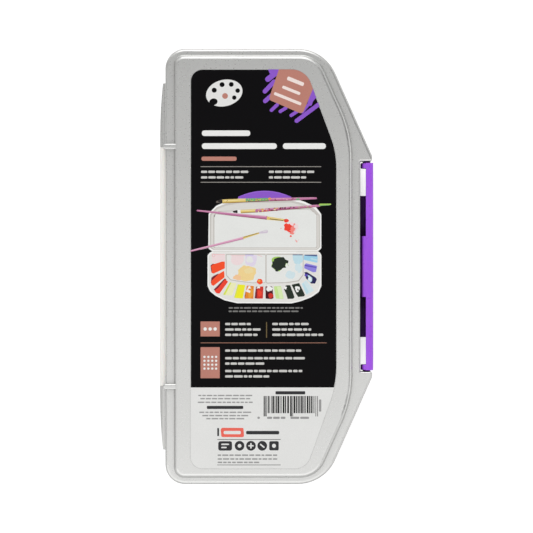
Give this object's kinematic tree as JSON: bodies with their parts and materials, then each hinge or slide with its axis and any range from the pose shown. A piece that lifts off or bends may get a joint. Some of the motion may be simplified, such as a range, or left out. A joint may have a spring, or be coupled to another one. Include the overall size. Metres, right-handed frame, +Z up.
{
  "type": "folding paint palette",
  "caption": "Folding airtight watercolour palette: shallow hinged box with a raised-panel lid, a front clip across the notch, fanned paint wells and mixing areas inside.",
  "frame": {"origin": "middle of the underside, closed and lying flat", "axes": "+Z up out of the lid, +X along the long side, +Y towards the hinge, -Y towards the front clip"},
  "size_m": [0.2554, 0.126, 0.028],
  "materials": {
    "silver_plastic": "satin silver-grey plastic with a fine metallic speckle",
    "white_plastic": "smooth white plastic",
    "purple_plastic": "smooth purple plastic",
    "silicone": "matt translucent white silicone",
    "label_print": "satin printed sticker, black and white parts",
    "steel": "drawn steel wire"
  },
  "bodies": {
    "base": {"base_shell": "silver_plastic", "base_tray": "white_plastic"},
    "lid": {"lid_shell": "silver_plastic", "lid_tray": "white_plastic", "lid_seal": "silicone", "lid_label": "label_print", "hinge_pin_left": "steel", "hinge_pin_right": "steel"},
    "clip": {"front_clip": "purple_plastic"}
  },
  "joints": [
    {"name": "lid_hinge", "type": "hinge", "parent": "base", "child": "lid", "pos_m": [0, 0.0597, 0.0141], "axis": [-1, 0, 0], "range_deg": [0, 180]},
    {"name": "clip_pivot", "type": "hinge", "parent": "lid", "child": "clip", "pos_m": [0, -0.0588, 0.0215], "axis": [-1, 0, 0], "range_deg": [0, 90]}
  ]
}
